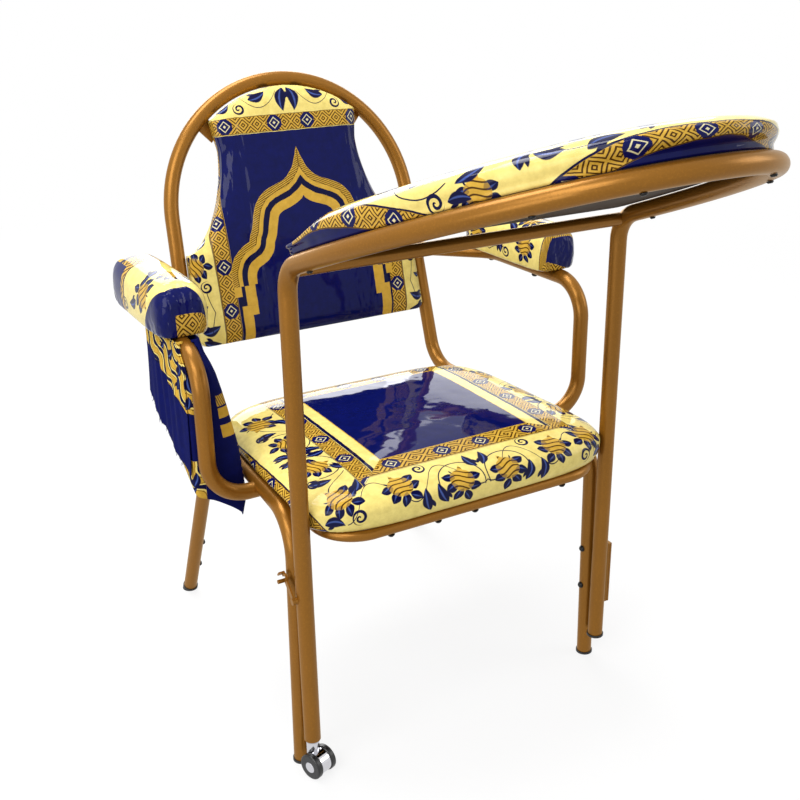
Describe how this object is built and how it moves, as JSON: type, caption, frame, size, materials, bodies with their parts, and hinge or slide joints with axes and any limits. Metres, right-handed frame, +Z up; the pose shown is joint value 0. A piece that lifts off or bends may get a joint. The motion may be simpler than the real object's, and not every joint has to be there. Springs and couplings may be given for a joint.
{
  "type": "prayer chair",
  "caption": "Tubular metal armchair for seated prayer, with printed cushions and a padded table that swings aside on a leg hinge and rolls on a castor",
  "frame": {"origin": "middle of the bounding box on the floor", "axes": "+Z up, the sitter faces -Y, the hinge side is +X, the castor side is -X"},
  "size_m": [0.75, 1.0958, 0.9849],
  "materials": {
    "gold_paint": "metallic gold paint on steel tube, satin gloss",
    "printed_vinyl": "printed woven cover under clear glossy vinyl",
    "printed_cloth": "printed woven cloth with a frayed hem",
    "plywood": "raw plywood, dull",
    "black_plastic": "moulded black plastic",
    "black_steel": "black oxide screws and bolts",
    "plain_steel": "zinc plated steel",
    "chrome_plate": "bright plated",
    "wheel_rubber": "hard black tread"
  },
  "bodies": {
    "chair": {"side_frame_left": "gold_paint", "side_frame_right": "gold_paint", "back_hoop": "gold_paint", "rear_leg_left": "gold_paint", "rear_leg_right": "gold_paint", "arm_tube_left": "gold_paint", "arm_tube_right": "gold_paint", "seat_frame": "gold_paint", "seat_strap_front": "gold_paint", "seat_strap_rear": "gold_paint", "foot_caps": "black_plastic", "leg_plugs": "black_plastic", "seat_board": "plywood", "seat_cushion": "printed_vinyl", "seat_bolts": "black_steel", "back_board": "plywood", "back_cushion": "printed_vinyl", "back_lugs": "gold_paint", "back_screws": "black_steel", "arm_board_left": "plywood", "arm_board_right": "plywood", "arm_pad_left": "printed_vinyl", "arm_pad_right": "printed_vinyl", "arm_bolts": "black_steel", "cloth_pocket": "printed_cloth", "latch_peg": "gold_paint", "hinge_leaf_chair": "gold_paint", "hinge_pin": "plain_steel", "hinge_bolts": "black_steel"},
    "table": {"hinge_leaf_table": "gold_paint", "table_tube": "gold_paint", "table_cross_tube": "gold_paint", "table_board": "plywood", "table_cushion": "printed_vinyl", "table_screws": "black_steel", "table_leg_cap": "black_plastic", "latch_rivet": "gold_paint"},
    "latch_hook": {"latch_hook": "gold_paint"},
    "castor_fork": {"castor_stem": "plain_steel", "castor_hood": "chrome_plate", "castor_axle": "plain_steel"},
    "castor_wheel_left": {"castor_wheel_left": "wheel_rubber", "castor_disc_left": "chrome_plate"},
    "castor_wheel_right": {"castor_wheel_right": "wheel_rubber", "castor_disc_right": "chrome_plate"}
  },
  "joints": [
    {"name": "table_swing", "type": "hinge", "parent": "chair", "child": "table", "pos_m": [0.28643, -0.06608, 0.1735], "axis": [0, 0, 1], "range_deg": [0, 120]},
    {"name": "latch_turn", "type": "hinge", "parent": "table", "child": "latch_hook", "pos_m": [-0.285, -0.08208, 0.3], "axis": [1, 0, 0], "range_deg": [-14, 80]},
    {"name": "castor_swivel", "type": "hinge", "parent": "table", "child": "castor_fork", "pos_m": [-0.268, -0.08208, 0.05], "axis": [0, 0, 1], "range_deg": [-65, 60]},
    {"name": "castor_spin_left", "type": "hinge", "parent": "castor_fork", "child": "castor_wheel_left", "pos_m": [-0.26458, -0.09147, 0.02], "axis": [0.9397, 0.342, 0], "continuous": true},
    {"name": "castor_spin_right", "type": "hinge", "parent": "castor_fork", "child": "castor_wheel_right", "pos_m": [-0.26458, -0.09147, 0.02], "axis": [0.9397, 0.342, 0], "continuous": true}
  ]
}
